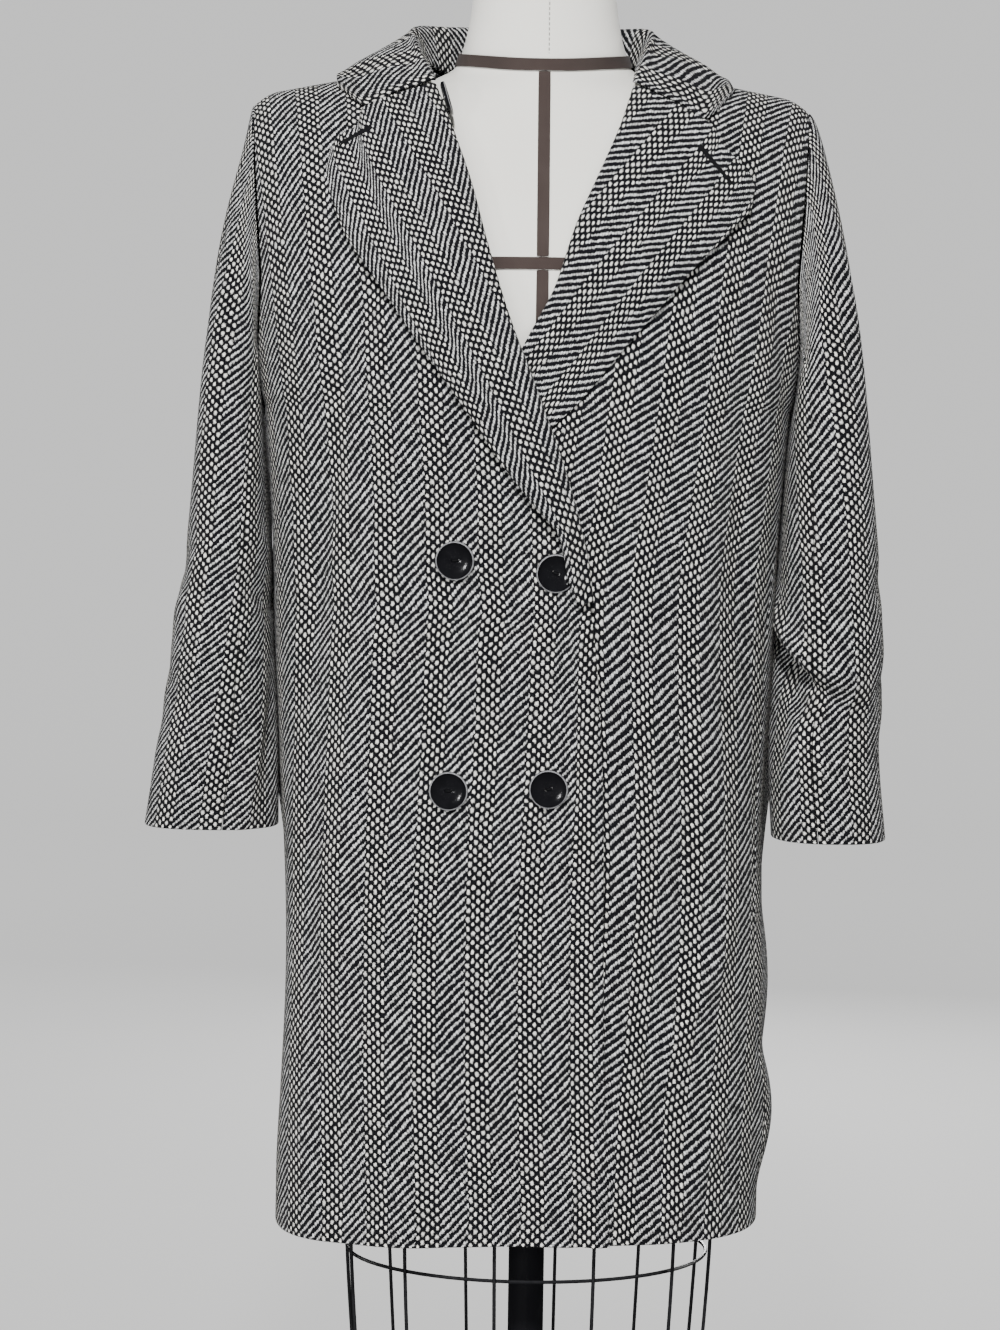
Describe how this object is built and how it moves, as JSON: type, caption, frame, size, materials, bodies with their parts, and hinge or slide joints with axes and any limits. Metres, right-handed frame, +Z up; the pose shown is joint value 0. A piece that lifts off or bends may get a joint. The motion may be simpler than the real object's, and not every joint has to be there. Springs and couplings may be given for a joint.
{
  "type": "tweed coat on a dress form",
  "caption": "Double-breasted coat of black and off-white herringbone tweed with wide notched lapels, worn by a limbless dress form on a round stand.",
  "frame": {"origin": "middle of the underside of the round base, on the floor", "axes": "+Z up along the pole, the front of the coat looks along -Y, the wearer's right lies at -X"},
  "size_m": [0.636, 0.42, 1.54],
  "materials": {
    "tweed": "matt woollen herringbone, black and off-white",
    "button": "polished",
    "cover": "matt cotton cover",
    "tape": "matt woven tape",
    "wire": "satin black",
    "stand": "satin black"
  },
  "bodies": {
    "root": {"front_right": "tweed", "front_left": "tweed", "back": "tweed", "sleeve_right_top": "tweed", "sleeve_right_under": "tweed", "sleeve_left_top": "tweed", "sleeve_left_under": "tweed", "lapel_right": "tweed", "lapel_left": "tweed", "collar": "tweed", "button_upper_outer": "button", "button_upper_edge": "button", "button_lower_outer": "button", "button_lower_edge": "button", "button_throat": "button", "form_torso": "cover", "tape_neck": "tape", "tape_bust": "tape", "tape_centre_upper": "tape", "tape_centre_lower": "tape", "cage_rib_01": "wire", "cage_rib_02": "wire", "cage_rib_03": "wire", "cage_rib_04": "wire", "cage_rib_05": "wire", "cage_rib_06": "wire", "cage_rib_07": "wire", "cage_rib_08": "wire", "cage_rib_09": "wire", "cage_rib_10": "wire", "cage_rib_11": "wire", "cage_rib_12": "wire", "cage_ring_low": "wire", "cage_ring_middle": "wire", "cage_ring_high": "wire", "stand_base": "stand", "stand_pole": "stand"}
  },
  "joints": []
}
